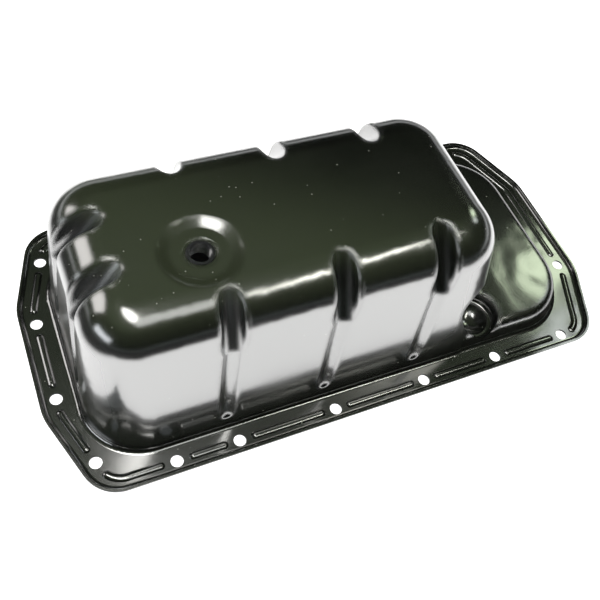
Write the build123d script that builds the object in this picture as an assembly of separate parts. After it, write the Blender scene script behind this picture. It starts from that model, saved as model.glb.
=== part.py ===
from build123d import *
import math
import os

# Engine oil pan, pressed from one steel sheet and shown upside down.
# The gasket face lies on z = 0 and the deep sump rises along +Z.
# +X runs towards the shallow end and -Y is the long side with the drain nearer to it.
# Lengths are millimetres and angles are degrees.

# sheet
sheet = 1.5
bend = 4.0

# flange outline
flange_length = 430.0
flange_width = 211.0
left_flat = 42.0
right_flat = 46.0
left_slant = 18.4
right_slant = 21.5
left_blend = 40.0
right_blend = 40.0
flange_corner = 26.0

# rim turned up along the whole outer edge
rim_radius = 5.0
rim_height = 5.4

# bolt line and bolt holes; the two long pitches of a row share what the others leave
row_edge = 9.5
end_edge = 11.2
line_corner = 16.0
hole_radius = 4.25
row_start = 43.6
row_finish = 15.1
short_pitch = 43.4
end_pitch = 62.0
left_pair_inset = 12.2
corner_hole_inset = 15.7
right_hole_inset = 7.8

# stiffening beads pressed up between the holes
bead_width = 5.6
bead_height = 1.2
bead_gap = 11.0

# deep sump, placed by the flat rails beside it
left_rail = 25.0
side_rail = 21.5
right_rail = 27.0
sump_height = 116.0
side_draft = 9.3
left_draft = 2.0
right_draft = 6.0
left_base_corner = 41.0
left_top_corner = 31.0
right_base_corner = 34.0
right_top_corner = 35.0
crown = 28.0

# shallow step, its length beyond the sump and its overlap with it
step_length = 79.0
step_lap = 89.0
step_inset = 0.8
step_height = 18.0
step_draft = 10.0
step_corner = 46.0
step_crown = 7.0
step_root = 8.0

# wrench pockets beside the fifth bolt of each row, upright at first and then leaning out of the wall
pocket_radius = 18.5
pocket_shift = -6.2
pocket_inset = 20.0
pocket_floor = 7.0
pocket_bottom = 4.0
pocket_knee = 13.0
pocket_tip = 41.0
pocket_run_left = 9.5
pocket_run_out = 14.5

# flutes across the crown, straight on the far side and leaning on the near side
flute_radius = 7.4
flute_shift = -5.4
flute_reaches = [11.0, 4.0, 1.5]
flute_leans = [1.7, 4.6, 5.4]
flute_start_depth = 2.0
flute_knee_drop = 38.0
flute_knee_depth = 3.2
flute_foot = 16.0
flute_foot_depth = 2.4
flute_rim = 2.0
end_flute_reach = 1.0
far_end_shift = -5.8
near_end_shift = -1.2
near_end_lean = 8.5

# drain dish, its distance from the left-hand wall's foot and its place across the pan
drain_from_end = 83.5
drain_y = -17.0
dish_radius = 27.0
dish_floor_radius = 19.0
dish_depth = 2.8
drain_opening = 9.2

# weld nut behind the drain opening
nut_radius = 13.0
nut_height = 8.0
nut_chamfer = 0.9
pilot_gap = 0.15
pilot_proud = 0.6
thread_minor = 6.2

# how close two heights lie to count as one, and the turn that makes an edge a sharp one
level_match = 0.02
sharp_turn = 15.0

side_slope = math.tan(math.radians(side_draft))
left_slope = math.tan(math.radians(left_draft))
right_slope = math.tan(math.radians(right_draft))
step_slope = math.tan(math.radians(step_draft))
stand_up = (Align.CENTER, Align.CENTER, Align.MIN)
hang_down = (Align.CENTER, Align.CENTER, Align.MAX)

# places that follow from the sizes above
side_base = flange_width / 2 - side_rail
sump_left = -flange_length / 2 + left_rail
step_right = flange_length / 2 - right_rail
sump_right = step_right - step_length
step_left = sump_right - step_lap
drain_x = sump_left + drain_from_end
left_pair = left_flat - left_pair_inset
right_hole = right_hole_inset - right_flat


def far_corners(row_inset, end_inset):
    """Corners of the flange outline moved inwards, along the far side from left to right."""
    half_width = flange_width / 2 - row_inset
    left = -flange_length / 2 + end_inset
    right = flange_length / 2 - end_inset
    left_y = left_flat - end_inset * math.tan(math.radians(left_slant / 2))
    right_y = right_flat - end_inset * math.tan(math.radians(right_slant / 2))
    left_run = (half_width - left_y) * math.tan(math.radians(left_slant))
    right_run = (half_width - right_y) * math.tan(math.radians(right_slant))
    return [
        (left, left_y),
        (left + left_run, half_width),
        (right - right_run, half_width),
        (right, right_y),
    ]


def outline(row_inset, end_inset, corner):
    """Flange outline moved inwards, mirrored about the X axis."""
    far_side = far_corners(row_inset, end_inset)
    near_side = [(x, -y) for x, y in reversed(far_side)]
    radii = [left_blend - end_inset, corner, corner, right_blend - end_inset]
    radii = radii + list(reversed(radii))
    return FilletPolyline(*far_side, *near_side, radius=radii, close=True)


def hole_row():
    """Places along X of the six bolts of each long side."""
    corners = far_corners(row_edge, end_edge)
    first = corners[1][0] + row_start
    last = corners[2][0] - row_finish
    long_pitch = (last - first - short_pitch - 2 * end_pitch) / 2
    places = [first]
    for pitch in (short_pitch, long_pitch, long_pitch, end_pitch, end_pitch):
        places.append(places[-1] + pitch)
    return places


def hole_places():
    """Centres of all bolt holes, in order around the flange from the left-hand end."""
    corners = far_corners(row_edge, end_edge)
    left, left_y = corners[0]
    right, _ = corners[3]
    half_width = corners[1][1]
    corner_hole = half_width - corner_hole_inset
    corner_x = left + (corner_hole - left_y) * math.tan(math.radians(left_slant))
    row = hole_row()
    places = [(left, left_pair), (corner_x, corner_hole)]
    places += [(x, half_width) for x in row]
    places += [(right, right_hole)]
    places += [(x, -half_width) for x in reversed(row)]
    places += [(corner_x, -corner_hole), (left, -left_pair)]
    return places


def rounded_slab(left, right, half_width, left_radius, right_radius, level):
    """Rectangle at a height with one corner radius at each end."""
    corners = [(left, -half_width), (left, half_width), (right, half_width), (right, -half_width)]
    radii = [left_radius, left_radius, right_radius, right_radius]
    return Pos(0, 0, level) * make_face(FilletPolyline(*corners, radius=radii, close=True))


def lies_at(edge, level):
    """True for an edge that lies flat at a height."""
    box = edge.bounding_box()
    return abs(box.min.Z - level) < level_match and abs(box.max.Z - level) < level_match


def sump_body(inset):
    """Deep sump with drafted walls and a rounded crown."""
    side_inset = inset / math.cos(math.radians(side_draft))
    top = sump_height - inset
    left = sump_left + inset / math.cos(math.radians(left_draft))
    right = sump_right - inset / math.cos(math.radians(right_draft))
    half_width = side_base - side_inset
    base = rounded_slab(left, right, half_width, left_base_corner - inset, right_base_corner - inset, 0)
    lid = rounded_slab(
        left + top * left_slope,
        right - top * right_slope,
        half_width - top * side_slope,
        left_top_corner - inset,
        right_top_corner - inset,
        top,
    )
    body = loft([base.face(), lid.face()], ruled=True)
    return fillet([edge for edge in body.edges() if lies_at(edge, top)], crown - inset)


def step_body(inset):
    """Shallow step that carries on from the sump to the right-hand end."""
    wall_inset = inset / math.cos(math.radians(step_draft))
    top = step_height - inset
    right = step_right - wall_inset
    half_width = side_base - step_inset - wall_inset
    radius = step_corner - inset
    base = rounded_slab(step_left, right, half_width, radius, radius, 0)
    shrink = top * step_slope
    radius -= shrink
    lid = rounded_slab(step_left, right - shrink, half_width - shrink, radius, radius, top)
    body = loft([base.face(), lid.face()], ruled=True)
    return fillet([edge for edge in body.edges() if lies_at(edge, top)], step_crown - inset)


def is_valley(edge, top):
    """True for the short upright edges where the step leaves the sump wall."""
    box = edge.bounding_box()
    beyond = sump_right - right_base_corner - bend < edge.center().X < sump_right
    upright = box.max.Z - box.min.Z > step_root / 4
    low = box.max.Z < top + level_match
    return beyond and upright and low and abs(edge.center().Y) > side_base - step_root


def capsule(start, finish, radius):
    """Round bar with ball ends between two points."""
    run = finish - start
    bar = Plane(origin=start, z_dir=run) * Cylinder(radius, run.length, align=stand_up)
    return bar + Pos(start) * Sphere(radius) + Pos(finish) * Sphere(radius)


def pocket_cutters(inset):
    """Pockets that clear a wrench on the fifth bolt of each row and run out up the sump's corner."""
    radius = pocket_radius + inset
    well = Pos(0, 0, -inset) * Cylinder(radius, pocket_knee + inset, align=stand_up)
    well = fillet([edge for edge in well.edges() if lies_at(edge, -inset)], pocket_bottom + inset)
    place = hole_row()[4] + pocket_shift
    cutters = []
    for side in (-1, 1):
        tip = Vector(-pocket_run_left, side * pocket_run_out, pocket_tip)
        cutter = well + capsule(Vector(0, 0, pocket_knee), tip, radius)
        cutters.append(Pos(place, side * (side_base - pocket_inset), pocket_floor) * cutter)
    return cutters


def flute(wall_base, draft, reach, lean, inset):
    """One flute for a wall that faces +X: deep at the crown, shallow down the wall, foot on Y = 0."""
    slope = math.tan(math.radians(draft))
    outward = Vector(math.cos(math.radians(draft)), 0, math.sin(math.radians(draft)))
    flat_edge = wall_base - sump_height * slope - crown * math.tan(math.radians(45 - draft / 2))
    drop = crown - math.sqrt(crown * crown - reach * reach)
    start_depth = flute_radius - flute_start_depth
    start = Vector(flat_edge + reach, 0, sump_height - drop + start_depth)
    flute_knee = sump_height - flute_knee_drop
    knee = Vector(wall_base - flute_knee * slope, 0, flute_knee)
    knee += outward * (flute_radius - flute_knee_depth)
    foot = Vector(wall_base - flute_foot * slope, 0, flute_foot)
    foot += outward * (flute_radius - flute_foot_depth)
    radius = flute_radius + inset
    run = knee - start
    opening = Box(2 * radius, crown, run.length, align=(Align.CENTER, Align.MIN, Align.MIN))
    bars = capsule(start, knee, radius) + capsule(knee, foot, radius)
    bars += Plane(origin=start, x_dir=(0, 1, 0), z_dir=run) * opening
    return bars.rotate(Axis(foot, outward), lean)


def flute_cutters(inset):
    """Three flutes on each long side, near the bolts, and two on the left-hand end."""
    cutters = []
    for side in (-1, 1):
        for place, reach, lean in zip(hole_row()[1:4], flute_reaches, flute_leans):
            side_lean = -lean if side < 0 else 0
            cutter = flute(side_base, side_draft, reach, side_lean, inset)
            cutters.append(Pos(place + flute_shift, 0, 0) * Rot(0, 0, side * 90) * cutter)
    ends = [(left_pair + far_end_shift, 0), (near_end_shift - left_pair, near_end_lean)]
    for place, lean in ends:
        cutter = flute(-sump_left, left_draft, end_flute_reach, lean, inset)
        cutters.append(Pos(0, place, 0) * Rot(0, 0, 180) * cutter)
    return cutters


def is_sharp(edge, body):
    """True where the two faces beside an edge turn by more than a slight angle."""
    beside = [face for face in body.faces() if any(edge.is_same(other) for other in face.edges())]
    if len(beside) < 2:
        return False
    first, second = [face.normal_at(edge.position_at(0.5)) for face in beside]
    return first.get_angle(second) > sharp_turn


def press_in(body, cutter, rim):
    """Sink a recess into the body and round the sharp rim that it leaves."""
    pressed = body - cutter
    rims = [edge for edge in new_edges(body, cutter, combined=pressed) if is_sharp(edge, pressed)]
    return fillet(rims, rim)


def drain_dish(inset):
    """Shallow dish pressed into the top face around the drain opening."""
    height = 2 * dish_depth
    mouth_radius = 2 * dish_radius - dish_floor_radius
    bowl = Cone(dish_floor_radius, mouth_radius, height, align=stand_up)
    return Pos(drain_x, drain_y, sump_height - dish_depth - inset) * bowl


def pressed_form(inset, plate_level):
    """The pressed shape on a thick plate; the inset turns the outer skin into the inner one."""
    top = step_height - inset
    body = sump_body(inset) + step_body(inset)
    roots = [edge for edge in body.edges() if lies_at(edge, top) and edge.center().X < sump_right + bend]
    valleys = [edge for edge in body.edges() if is_valley(edge, top)]
    body = fillet(roots + valleys, step_root + inset)
    for cutter in flute_cutters(inset):
        body = press_in(body, cutter, flute_rim - inset)
    plate = Box(2 * flange_length, 2 * flange_width, sump_height, align=hang_down)
    body += Pos(0, 0, plate_level) * plate
    foot = [edge for edge in body.edges() if lies_at(edge, plate_level)]
    foot = [edge for edge in foot if abs(edge.center().X) < flange_length / 2]
    foot = [edge for edge in foot if abs(edge.center().Y) < flange_width / 2]
    body = fillet(foot, bend + inset)
    for cutter in pocket_cutters(inset) + [drain_dish(inset)]:
        body -= cutter
    return body


def rim_tray(inset):
    """Flange with its edge rolled up; the inset makes the space above the sheet."""
    wire = outline(inset, inset, flange_corner - inset)
    tray = extrude(make_face(wire), rim_height)
    tray = fillet([edge for edge in tray.edges() if lies_at(edge, 0)], rim_radius - inset)
    return Pos(0, 0, inset) * tray


def bead(line, start, finish, inset):
    """Pressed bead with ball ends along part of the bolt line; places are parts of its length."""
    half = bead_width / 2
    radius = (half * half + bead_height * bead_height) / (2 * bead_height)
    level = sheet + bead_height - radius
    margin = bead_gap / line.length
    path = line.trim(start + margin, finish - margin)
    ball = Sphere(radius - inset)
    section = Plane(origin=path.position_at(0), z_dir=path.tangent_at(0)) * Circle(radius - inset)
    bar = sweep(section, path=path)
    bar += Pos(path.position_at(0)) * ball
    bar += Pos(path.position_at(1)) * ball
    return Pos(0, 0, level) * bar


def beads(inset):
    """One bead between each hole and the next, all around the bolt line."""
    line = Wire(outline(row_edge, end_edge, line_corner).edges())
    places = sorted(line.param_at_point(Vector(*place, 0)) for place in hole_places())
    bars = [bead(line, start, finish, inset) for start, finish in zip(places, places[1:])]
    # the line starts within the last bead, which mirrors the second one
    return bars + [mirror(bars[1], about=Plane.XZ)]


def oil_pan():
    """The pressing: outer form and flange, less the inner form, beads and holes."""
    flange = rim_tray(0) - rim_tray(sheet)
    inside = outline(rim_radius, rim_radius, flange_corner - rim_radius)
    above = extrude(make_face(inside), 2 * sump_height)
    skin = pressed_form(0, sheet) & above
    hollow = pressed_form(sheet, 0)
    pan = flange + skin
    for ridge in beads(0):
        pan += ridge & above
    pan -= hollow
    for channel in beads(sheet):
        pan -= channel
    for x, y in hole_places():
        pan -= Pos(x, y, 0) * Cylinder(hole_radius, sump_height)
    pan -= Pos(drain_x, drain_y, sump_height) * Cylinder(drain_opening, sump_height)
    return pan


def drain_nut():
    """Weld nut inside the sump, its pilot standing in the drain opening."""
    seat = sump_height - dish_depth - sheet
    pilot = drain_opening - pilot_gap
    nut = Cylinder(nut_radius, nut_height, align=hang_down)
    nut += Cylinder(pilot, sheet + pilot_proud, align=stand_up)
    nut -= Cylinder(thread_minor, sump_height)
    mouth = nut.edges().filter_by(GeomType.CIRCLE).group_by(Axis.Z)[-1].sort_by(SortBy.RADIUS)[0]
    nut = chamfer(mouth, nut_chamfer)
    return Pos(drain_x, drain_y, seat) * nut


if __name__ == "__main__":
    os.makedirs("parts", exist_ok=True)
    export_step(oil_pan(), "parts/pan.step")
    export_step(drain_nut(), "parts/drain_nut.step")
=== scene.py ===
import bpy
import math
from mathutils import Matrix, Vector


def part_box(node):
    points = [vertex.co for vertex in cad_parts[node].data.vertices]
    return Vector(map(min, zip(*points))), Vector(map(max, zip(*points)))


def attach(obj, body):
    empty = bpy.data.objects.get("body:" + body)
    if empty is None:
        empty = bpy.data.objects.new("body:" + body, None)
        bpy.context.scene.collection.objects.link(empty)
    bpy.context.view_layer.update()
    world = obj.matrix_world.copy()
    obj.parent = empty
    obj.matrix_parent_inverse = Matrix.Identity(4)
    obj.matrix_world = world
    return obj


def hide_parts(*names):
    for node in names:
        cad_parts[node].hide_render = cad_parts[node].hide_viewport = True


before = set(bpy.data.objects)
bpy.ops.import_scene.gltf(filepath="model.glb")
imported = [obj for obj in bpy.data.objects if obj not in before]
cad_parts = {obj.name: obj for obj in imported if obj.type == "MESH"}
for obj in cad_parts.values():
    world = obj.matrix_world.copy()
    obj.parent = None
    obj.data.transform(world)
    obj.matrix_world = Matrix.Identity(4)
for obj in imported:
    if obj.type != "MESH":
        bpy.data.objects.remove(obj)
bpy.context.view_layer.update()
bpy.ops.object.select_all(action="DESELECT")

# The pan: one pressing of thin steel sheet, dipped in gloss black paint.
# The paint has a faint orange peel, a haze from handling and small specks caught in it,
# and a painted reflection makes the sump's bottom lighter and olive. It lies thick over the
# pressed rims.
paint = bpy.data.materials.new("pan_paint")
paint.use_nodes = True
paint_tree = paint.node_tree
paint_shader = paint_tree.nodes["Principled BSDF"]
paint_shader.inputs["IOR"].default_value = 2.7
paint_shader.inputs["Specular IOR Level"].default_value = 0.8
paint_shader.inputs["Coat Weight"].default_value = 1.0
paint_shader.inputs["Coat Roughness"].default_value = 0.28
paint_place = paint_tree.nodes.new("ShaderNodeTexCoord").outputs["Object"]


def feed(tree, socket, source):
    if isinstance(source, bpy.types.NodeSocket):
        tree.links.new(source, socket)
    else:
        socket.default_value = source


def reckon(tree, operation, first, second):
    node = tree.nodes.new("ShaderNodeMath")
    node.operation = operation
    feed(tree, node.inputs[0], first)
    feed(tree, node.inputs[1], second)
    return node.outputs["Value"]


def ease(tree, value, start, end, at_start=0.0, at_end=1.0):
    node = tree.nodes.new("ShaderNodeMapRange")
    node.interpolation_type = "SMOOTHSTEP"
    node.inputs["From Min"].default_value = start
    node.inputs["From Max"].default_value = end
    node.inputs["To Min"].default_value = at_start
    node.inputs["To Max"].default_value = at_end
    tree.links.new(value, node.inputs["Value"])
    return node.outputs["Result"]


def mix_colours(tree, amount, first, second):
    node = tree.nodes.new("ShaderNodeMix")
    node.data_type = "RGBA"
    feed(tree, node.inputs["Factor"], amount)
    feed(tree, node.inputs["A"], first)
    feed(tree, node.inputs["B"], second)
    return node.outputs["Result"]


def tone_ramp(tree, value, first, second, start=0.0, end=1.0):
    node = tree.nodes.new("ShaderNodeValToRGB")
    node.color_ramp.elements[0].position = start
    node.color_ramp.elements[0].color = first
    node.color_ramp.elements[1].position = end
    node.color_ramp.elements[1].color = second
    tree.links.new(value, node.inputs["Fac"])
    return node.outputs["Color"]


def grain(tree, place, scale, detail, distortion=0.0):
    node = tree.nodes.new("ShaderNodeTexNoise")
    node.inputs["Scale"].default_value = scale
    node.inputs["Detail"].default_value = detail
    node.inputs["Distortion"].default_value = distortion
    tree.links.new(place, node.inputs["Vector"])
    return node.outputs["Fac"]


def split(tree, place):
    node = tree.nodes.new("ShaderNodeSeparateXYZ")
    tree.links.new(place, node.inputs["Vector"])
    return node.outputs


# Haze: it changes the gloss and the tint a little from place to place.
haze = grain(paint_tree, paint_place, 22.0, 5.0)
haze_gloss = paint_tree.nodes.new("ShaderNodeMapRange")
haze_gloss.inputs["From Min"].default_value = 0.35
haze_gloss.inputs["From Max"].default_value = 0.7
haze_gloss.inputs["To Min"].default_value = 0.11
haze_gloss.inputs["To Max"].default_value = 0.18
paint_tree.links.new(haze, haze_gloss.inputs["Value"])
paint_tree.links.new(haze_gloss.outputs["Result"], paint_shader.inputs["Roughness"])
black = (0.003, 0.004, 0.003, 1.0)
olive_black = (0.007, 0.009, 0.006, 1.0)
paint_tone = tone_ramp(paint_tree, haze, black, olive_black, 0.35, 0.65)

# Painted reflection: the sump's bottom is painted lighter and olive, fading out towards its far
# right corner.
painted_reflection_colour = (0.040, 0.052, 0.025, 1.0)
reflection_lie = paint_tree.nodes.new("ShaderNodeVectorMath")
reflection_lie.operation = "DOT_PRODUCT"
reflection_lie.inputs[1].default_value = (0.50, 0.85, 0.0)
paint_tree.links.new(paint_place, reflection_lie.inputs[0])
reflection_spread = ease(paint_tree, reflection_lie.outputs["Value"], -0.060, 0.040, 1.0, 0.0)
paint_axes = split(paint_tree, paint_place)
reflection_level = ease(paint_tree, paint_axes["Z"], 0.100, 0.115)
painted_reflection = reckon(paint_tree, "MULTIPLY", reflection_spread, reflection_level)
painted_reflection_tone = mix_colours(paint_tree, painted_reflection, paint_tone, painted_reflection_colour)

# Specks: one cell in ten holds a grain of dust, under a millimetre across.
speck_colour = (0.42, 0.43, 0.37, 1.0)
speck = paint_tree.nodes.new("ShaderNodeTexVoronoi")
speck.inputs["Scale"].default_value = 260.0
paint_tree.links.new(paint_place, speck.inputs["Vector"])
speck_size = reckon(paint_tree, "LESS_THAN", speck.outputs["Distance"], 0.11)
speck_pick = paint_tree.nodes.new("ShaderNodeSeparateColor")
paint_tree.links.new(speck.outputs["Color"], speck_pick.inputs["Color"])
speck_few = reckon(paint_tree, "GREATER_THAN", speck_pick.outputs["Red"], 0.90)
speck_here = reckon(paint_tree, "MULTIPLY", speck_size, speck_few)
specked_tone = mix_colours(paint_tree, speck_here, painted_reflection_tone, speck_colour)
paint_tree.links.new(specked_tone, paint_shader.inputs["Base Color"])

# Rims: the paint rounds every edge above the foot bend. The flange keeps its crisp beads.
rim_radius = 0.005
soft_rim = paint_tree.nodes.new("ShaderNodeBevel")
soft_rim.samples = 6
soft_rim.inputs["Radius"].default_value = rim_radius
sheet = paint_tree.nodes.new("ShaderNodeNewGeometry")
above_foot = paint_tree.nodes.new("ShaderNodeMapRange")
above_foot.inputs["From Min"].default_value = 0.010
above_foot.inputs["From Max"].default_value = 0.016
paint_tree.links.new(paint_axes["Z"], above_foot.inputs["Value"])
rims = paint_tree.nodes.new("ShaderNodeMix")
rims.data_type = "VECTOR"
paint_tree.links.new(above_foot.outputs["Result"], rims.inputs["Factor"])
paint_tree.links.new(sheet.outputs["Normal"], rims.inputs["A"])
paint_tree.links.new(soft_rim.outputs["Normal"], rims.inputs["B"])

# Waves: the sheet of the shallow step was drawn the least, so it is slack there.
slack = ease(paint_tree, paint_axes["X"], 0.112, 0.135)
waves = grain(paint_tree, paint_place, 26.0, 1.0, 0.2)
wave_bump = paint_tree.nodes.new("ShaderNodeBump")
wave_bump.inputs["Distance"].default_value = 0.0010
paint_tree.links.new(reckon(paint_tree, "MULTIPLY", waves, slack), wave_bump.inputs["Height"])
paint_tree.links.new(rims.outputs["Result"], wave_bump.inputs["Normal"])

# Orange peel: fine and shallow, all over.
peel = grain(paint_tree, paint_place, 420.0, 2.0)
peel_bump = paint_tree.nodes.new("ShaderNodeBump")
peel_bump.inputs["Strength"].default_value = 0.04
peel_bump.inputs["Distance"].default_value = 0.0004
paint_tree.links.new(peel, peel_bump.inputs["Height"])
paint_tree.links.new(wave_bump.outputs["Normal"], peel_bump.inputs["Normal"])
paint_tree.links.new(peel_bump.outputs["Normal"], paint_shader.inputs["Normal"])

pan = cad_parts["pan"]
for slot in pan.material_slots:
    slot.material = paint

# The drain nut: a round weld nut turned from steel bar, welded inside the dish.
# Its pilot stands in the drain opening, and the thread is cut right through it.
# It is painted with the pan, and the thread keeps only a thin coat.
nut_low, nut_high = [Vector(corner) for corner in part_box("drain_nut")]
nut_axis = (nut_low + nut_high) / 2
nut_radius = (nut_high.x - nut_low.x) / 2
nut_seat = 0.1117
nut_edge = 0.0005
nut_sides = 96
pilot_radius = 0.00905
thread_minor = 0.0062
thread_major = 0.0070
thread_depth = thread_major - thread_minor
thread_pitch = 0.0015
thread_turns = 5.5
thread_sink = 0.00005
steps_per_turn = 48
tooth_base = 0.9 * thread_pitch
crest_share = 0.14
mouth_edge = 0.0003
mouth_radius = thread_major + mouth_edge
outline = [
    (thread_major, nut_high.z - mouth_edge),
    (mouth_radius, nut_high.z),
    (pilot_radius - nut_edge / 2, nut_high.z),
    (pilot_radius, nut_high.z - nut_edge / 2),
    (pilot_radius, nut_seat),
    (nut_radius, nut_seat),
    (nut_radius, nut_low.z + nut_edge),
    (nut_radius - nut_edge, nut_low.z),
    (mouth_radius, nut_low.z),
    (thread_major, nut_low.z + mouth_edge),
    (thread_major, nut_high.z - mouth_edge),
]

# The body is drawn out ring by ring along the outline, and closed on its first ring.
radius, height = outline[0]
bpy.ops.mesh.primitive_circle_add(
    vertices=nut_sides, radius=radius, location=(nut_axis.x, nut_axis.y, height))
drain_nut = bpy.context.object
drain_nut.name = "threaded_drain_nut"
bpy.ops.object.mode_set(mode="EDIT")
bpy.ops.mesh.select_all(action="SELECT")
for next_radius, next_height in outline[1:]:
    rise = {"value": (0.0, 0.0, next_height - height)}
    bpy.ops.mesh.extrude_region_move(TRANSFORM_OT_translate=rise)
    grow = next_radius / radius
    ring_centre = (nut_axis.x, nut_axis.y, next_height)
    bpy.ops.transform.resize(value=(grow, grow, 1.0), center_override=ring_centre)
    radius, height = next_radius, next_height
bpy.ops.mesh.select_all(action="SELECT")
bpy.ops.mesh.remove_doubles(threshold=0.000001)
bpy.ops.mesh.normals_make_consistent(inside=False)
bpy.ops.object.mode_set(mode="OBJECT")

# The thread is one tooth's outline, run up the bore in turns and closed at both ends.
thread_start = nut_axis.z - thread_turns * thread_pitch / 2
tooth_middle = thread_major - thread_depth / 2
bpy.ops.object.select_all(action="DESELECT")
bpy.ops.mesh.primitive_plane_add(size=1.0, rotation=(math.pi / 2, 0.0, 0.0))
thread = bpy.context.object
bpy.ops.object.mode_set(mode="EDIT")
bpy.ops.mesh.select_all(action="SELECT")
bpy.ops.transform.resize(value=(thread_depth, 1.0, tooth_base), center_override=(0.0, 0.0, 0.0))
bpy.ops.transform.translate(value=(tooth_middle + thread_sink, 0.0, 0.0))
bpy.ops.mesh.select_all(action="DESELECT")
bpy.ops.object.mode_set(mode="OBJECT")
for corner in thread.data.vertices:
    corner.select = corner.co.x < tooth_middle
bpy.ops.object.mode_set(mode="EDIT")
bpy.ops.transform.resize(value=(1.0, 1.0, crest_share), center_override=(0.0, 0.0, 0.0))
bpy.ops.mesh.select_all(action="SELECT")
bpy.ops.mesh.delete(type="ONLY_FACE")
bpy.ops.object.mode_set(mode="OBJECT")
bpy.ops.object.transform_apply(location=True, rotation=True, scale=True)
turns = thread.modifiers.new("turns", "SCREW")
turns.angle = 2 * math.pi * thread_turns
turns.screw_offset = thread_pitch * thread_turns
turns.steps = round(steps_per_turn * thread_turns)
turns.render_steps = turns.steps
turns.use_smooth_shade = False
bpy.ops.object.modifier_apply(modifier="turns")
thread.location = (nut_axis.x, nut_axis.y, thread_start)
bpy.ops.object.mode_set(mode="EDIT")
bpy.ops.mesh.select_all(action="DESELECT")
bpy.ops.mesh.select_non_manifold()
bpy.ops.mesh.fill_holes(sides=4)
bpy.ops.mesh.select_all(action="SELECT")
bpy.ops.mesh.normals_make_consistent(inside=False)
bpy.ops.object.mode_set(mode="OBJECT")

drain_nut.select_set(True)
bpy.context.view_layer.objects.active = drain_nut
bpy.ops.object.join()
bpy.ops.object.transform_apply(location=True, rotation=True, scale=True)
bpy.ops.object.shade_smooth_by_angle(angle=math.radians(30))

# Its paint is thinner than the pan's and shows the grain of the turned steel.
nut_paint = bpy.data.materials.new("nut_paint")
nut_paint.use_nodes = True
nut_tree = nut_paint.node_tree
nut_shader = nut_tree.nodes["Principled BSDF"]
nut_shader.inputs["IOR"].default_value = 2.6
nut_shader.inputs["Coat Weight"].default_value = 0.6
nut_shader.inputs["Coat Roughness"].default_value = 0.08
nut_place = nut_tree.nodes.new("ShaderNodeTexCoord").outputs["Object"]
turning = grain(nut_tree, nut_place, 900.0, 3.0)
nut_dark = (0.010, 0.010, 0.012, 1.0)
nut_light = (0.030, 0.031, 0.036, 1.0)
nut_tone = tone_ramp(nut_tree, turning, nut_dark, nut_light, 0.4, 0.7)
nut_tree.links.new(nut_tone, nut_shader.inputs["Base Color"])
turning_gloss = nut_tree.nodes.new("ShaderNodeMapRange")
turning_gloss.inputs["To Min"].default_value = 0.16
turning_gloss.inputs["To Max"].default_value = 0.30
nut_tree.links.new(turning, turning_gloss.inputs["Value"])
nut_tree.links.new(turning_gloss.outputs["Result"], nut_shader.inputs["Roughness"])
turning_bump = nut_tree.nodes.new("ShaderNodeBump")
turning_bump.inputs["Strength"].default_value = 0.15
turning_bump.inputs["Distance"].default_value = 0.0001
nut_tree.links.new(turning, turning_bump.inputs["Height"])
nut_tree.links.new(turning_bump.outputs["Normal"], nut_shader.inputs["Normal"])
drain_nut.data.materials.append(nut_paint)
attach(drain_nut, "root")
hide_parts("drain_nut")
bpy.ops.object.select_all(action="DESELECT")

# The floor: a sheet of pale paper around the pan, on a table that gloss shows dark.
# It is lit by the lamps and keeps the shadow of the pan. Under the sump it carries a painted
# shade, the dark table colour, lets light up into the pan, and can be seen through from below.
floor_size = 12.0
floor_drop = 0.0003
bpy.ops.mesh.primitive_plane_add(size=floor_size, location=(0.0, 0.0, -floor_drop))
floor = bpy.context.object
floor.name = "floor"
floor_paper = bpy.data.materials.new("floor_paper")
floor_paper.use_nodes = True
paper_tree = floor_paper.node_tree
paper_tree.nodes.remove(paper_tree.nodes["Principled BSDF"])
paper_place = paper_tree.nodes.new("ShaderNodeTexCoord").outputs["Object"]
paper_ray = paper_tree.nodes.new("ShaderNodeLightPath").outputs


def both_ways(tree, place):
    node = tree.nodes.new("ShaderNodeVectorMath")
    node.operation = "ABSOLUTE"
    tree.links.new(place, node.inputs[0])
    return split(tree, node.outputs["Vector"])


# The sheet's half sides are one unit long here, and it fades out past them.
paper_turn = paper_tree.nodes.new("ShaderNodeMapping")
paper_turn.vector_type = "TEXTURE"
paper_turn.inputs["Location"].default_value = (0.095, 0.036, 0.0)
paper_turn.inputs["Rotation"].default_value = (0.0, 0.0, math.radians(-11.1))
paper_turn.inputs["Scale"].default_value = (0.335, 0.31, 1.0)
paper_tree.links.new(paper_place, paper_turn.inputs["Vector"])
paper_sides = both_ways(paper_tree, paper_turn.outputs["Vector"])
paper_reach = reckon(paper_tree, "MAXIMUM", paper_sides["X"], paper_sides["Y"])
paper_fade = ease(paper_tree, paper_reach, 1.05, 1.40, 1.0, 0.0)
pale = reckon(paper_tree, "MAXIMUM", paper_fade, paper_ray["Is Camera Ray"])

# The covered part is the space inside the flange for the camera, whose bolt holes
# show the paper, and the flange's whole outline for every other ray.
covered_sides = both_ways(paper_tree, paper_place)
outside_parts = []
for side, flange_reach, sump_reach in (("X", 0.216, 0.180), ("Y", 0.1065, 0.078)):
    reach = paper_tree.nodes.new("ShaderNodeMapRange")
    reach.inputs["To Min"].default_value = flange_reach
    reach.inputs["To Max"].default_value = sump_reach
    paper_tree.links.new(paper_ray["Is Camera Ray"], reach.inputs["Value"])
    outside_parts.append(
        reckon(paper_tree, "GREATER_THAN", covered_sides[side], reach.outputs["Result"]))
outside = reckon(paper_tree, "MAXIMUM", *outside_parts)
pale_outside = reckon(paper_tree, "MULTIPLY", pale, outside)

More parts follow.
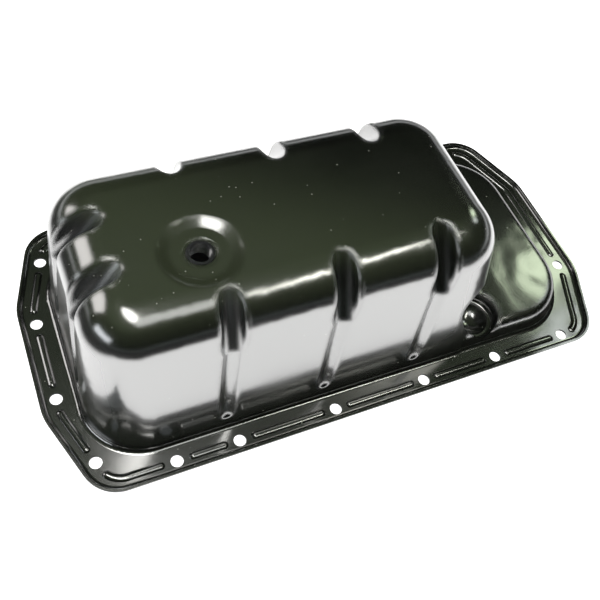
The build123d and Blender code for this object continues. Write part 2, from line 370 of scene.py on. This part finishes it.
table_and_painted_shade_colour = (0.05, 0.05, 0.05, 1.0)
paper_colour = (0.85, 0.85, 0.85, 1.0)
paper = paper_tree.nodes.new("ShaderNodeBsdfDiffuse")
# Painted shade: inside the covered part the paper takes the dark table colour, so the floor
# under the sump is painted dark.
paper_tone = mix_colours(paper_tree, pale_outside, table_and_painted_shade_colour, paper_colour)
paper_tree.links.new(paper_tone, paper.inputs["Color"])
seen = reckon(paper_tree, "MAXIMUM", paper_ray["Is Camera Ray"], paper_ray["Is Glossy Ray"])
seen = reckon(paper_tree, "MAXIMUM", seen, paper_ray["Is Transmission Ray"])
paper_glow = paper_tree.nodes.new("ShaderNodeEmission")
paper_glow.inputs["Color"].default_value = (1.0, 1.0, 1.0, 1.0)
glow_strength = reckon(paper_tree, "MULTIPLY", pale_outside, seen)
paper_tree.links.new(glow_strength, paper_glow.inputs["Strength"])
glowing_paper = paper_tree.nodes.new("ShaderNodeAddShader")
paper_tree.links.new(paper.outputs["BSDF"], glowing_paper.inputs[0])
paper_tree.links.new(paper_glow.outputs["Emission"], glowing_paper.inputs[1])

covered = reckon(paper_tree, "SUBTRACT", 1.0, outside)
unseen = reckon(paper_tree, "SUBTRACT", 1.0, paper_ray["Is Camera Ray"])
open_under = reckon(paper_tree, "MULTIPLY", covered, unseen)
paper_side = paper_tree.nodes.new("ShaderNodeNewGeometry")
open_paper = reckon(paper_tree, "MAXIMUM", open_under, paper_side.outputs["Backfacing"])
clear = paper_tree.nodes.new("ShaderNodeBsdfTransparent")
floor_face = paper_tree.nodes.new("ShaderNodeMixShader")
paper_tree.links.new(open_paper, floor_face.inputs["Fac"])
paper_tree.links.new(glowing_paper.outputs["Shader"], floor_face.inputs[1])
paper_tree.links.new(clear.outputs["BSDF"], floor_face.inputs[2])
paper_output = paper_tree.nodes["Material Output"]
paper_tree.links.new(floor_face.outputs["Shader"], paper_output.inputs["Surface"])
floor.data.materials.append(floor_paper)

# The room: its walls are pale on the far side and dim behind the camera, under a dark
# ceiling that is lighter straight above. Matt surfaces get a plain level from it, and
# the camera sees a pale backdrop.
room = bpy.data.worlds.new("studio")
bpy.context.scene.world = room
room.use_nodes = True
room_tree = room.node_tree
room_view = room_tree.nodes.new("ShaderNodeTexCoord").outputs["Generated"]
room_height = split(room_tree, room_view)["Z"]
room_side = room_tree.nodes.new("ShaderNodeVectorMath")
room_side.operation = "DOT_PRODUCT"
room_side.inputs[1].default_value = (0.45, 0.89, 0.0)
room_tree.links.new(room_view, room_side.inputs[0])
near_wall = (0.09, 0.10, 0.10, 1.0)
far_wall = (0.90, 0.92, 0.92, 1.0)
wall_side = ease(room_tree, room_side.outputs["Value"], -0.3, 0.5)
wall_tone = tone_ramp(room_tree, wall_side, near_wall, far_wall)
low_ceiling = (0.006, 0.007, 0.005, 1.0)
high_ceiling = (0.040, 0.050, 0.032, 1.0)
ceiling_side = ease(room_tree, room_height, 0.66, 0.86)
ceiling_tone = tone_ramp(room_tree, ceiling_side, low_ceiling, high_ceiling)
above_wall = ease(room_tree, room_height, 0.03, 0.16)
room_tone = mix_colours(room_tree, above_wall, wall_tone, ceiling_tone)
plain_level = (0.65, 0.65, 0.65, 1.0)
backdrop = (0.95, 0.95, 0.95, 1.0)
room_ray = room_tree.nodes.new("ShaderNodeLightPath").outputs
room_tone = mix_colours(room_tree, room_ray["Is Diffuse Ray"], room_tone, plain_level)
room_tone = mix_colours(room_tree, room_ray["Is Camera Ray"], room_tone, backdrop)
room_tree.links.new(room_tone, room_tree.nodes["Background"].inputs["Color"])

# The lamps: soft boxes and windows, each with its place, the point that it looks at,
# its width and height in metres, its power in watts and its colour.
warm_white = (1.0, 0.99, 0.95)
soft_yellow = (1.0, 0.99, 0.90)
plain_white = (1.0, 1.0, 0.98)
rose_white = (1.0, 0.97, 0.95)
blue_white = (0.92, 0.96, 1.0)
garden_green = (0.86, 1.0, 0.72)
pale_green = (0.93, 1.0, 0.95)
pan_foot = (0.0, 0.0, 0.0)
sump_left = (-0.15, 0.0, 0.1)


def softbox(name, spot, aim, width, height, power, colour, shape="RECTANGLE"):
    light = bpy.data.lights.new(name, "AREA")
    light.shape = shape
    light.size = width
    light.size_y = height
    light.energy = power
    light.color = colour
    lamp = bpy.data.objects.new(name, light)
    bpy.context.scene.collection.objects.link(lamp)
    lamp.location = spot
    lamp.rotation_euler = (Vector(aim) - Vector(spot)).to_track_quat("-Z", "Y").to_euler()


softbox("overhead", (-0.25, -0.02, 1.6), pan_foot, 0.95, 0.38, 4.5, warm_white, "ELLIPSE")
softbox("round_lamp", (0.03, -0.58, 1.6), pan_foot, 0.60, 0.60, 1.1, plain_white, "ELLIPSE")
softbox("strip", (0.60, -0.50, 1.55), pan_foot, 0.9, 0.12, 1.7, soft_yellow, "ELLIPSE")
softbox("window", (-1.25, 0.90, 1.00), sump_left, 0.75, 0.75, 3.2, rose_white)
softbox("left_card", (-1.12, -0.26, 0.36), sump_left, 0.70, 0.26, 1.1, blue_white)
softbox("side_window", (0.535, 0.165, 0.44), (0.16, -0.03, 0.0), 0.08, 0.12, 0.075, garden_green)
softbox("corner_window", (0.535, 0.060, 0.45), (0.17, -0.09, 0.0), 0.07, 0.09, 0.035, pale_green)

# The camera stands at the near left corner, high up and slightly rolled.
# Its direction is given by the way back from the pan to the camera.
view = bpy.data.cameras.new("camera")
view.lens = 49.2
view.sensor_width = 36.0
view.shift_x = 0.008
view.shift_y = -0.113
camera = bpy.data.objects.new("camera", view)
bpy.context.scene.collection.objects.link(camera)
camera_spot = (-0.22198, -0.28108, 0.51888)
azimuth = math.radians(-34.04)
elevation = math.radians(52.02)
roll = math.radians(14.45)
backward = Vector((
    math.sin(azimuth) * math.cos(elevation),
    -math.cos(azimuth) * math.cos(elevation),
    math.sin(elevation),
))
rightward = (-backward).cross(Vector((0, 0, 1))).normalized()
upward = rightward.cross(-backward)
rolled_right = rightward * math.cos(roll) + upward * math.sin(roll)
rolled_up = upward * math.cos(roll) - rightward * math.sin(roll)
turn = Matrix((rolled_right, rolled_up, backward)).transposed().to_4x4()
camera.matrix_world = Matrix.Translation(camera_spot) @ turn
bpy.context.scene.camera = camera
bpy.context.scene.view_settings.view_transform = "Standard"
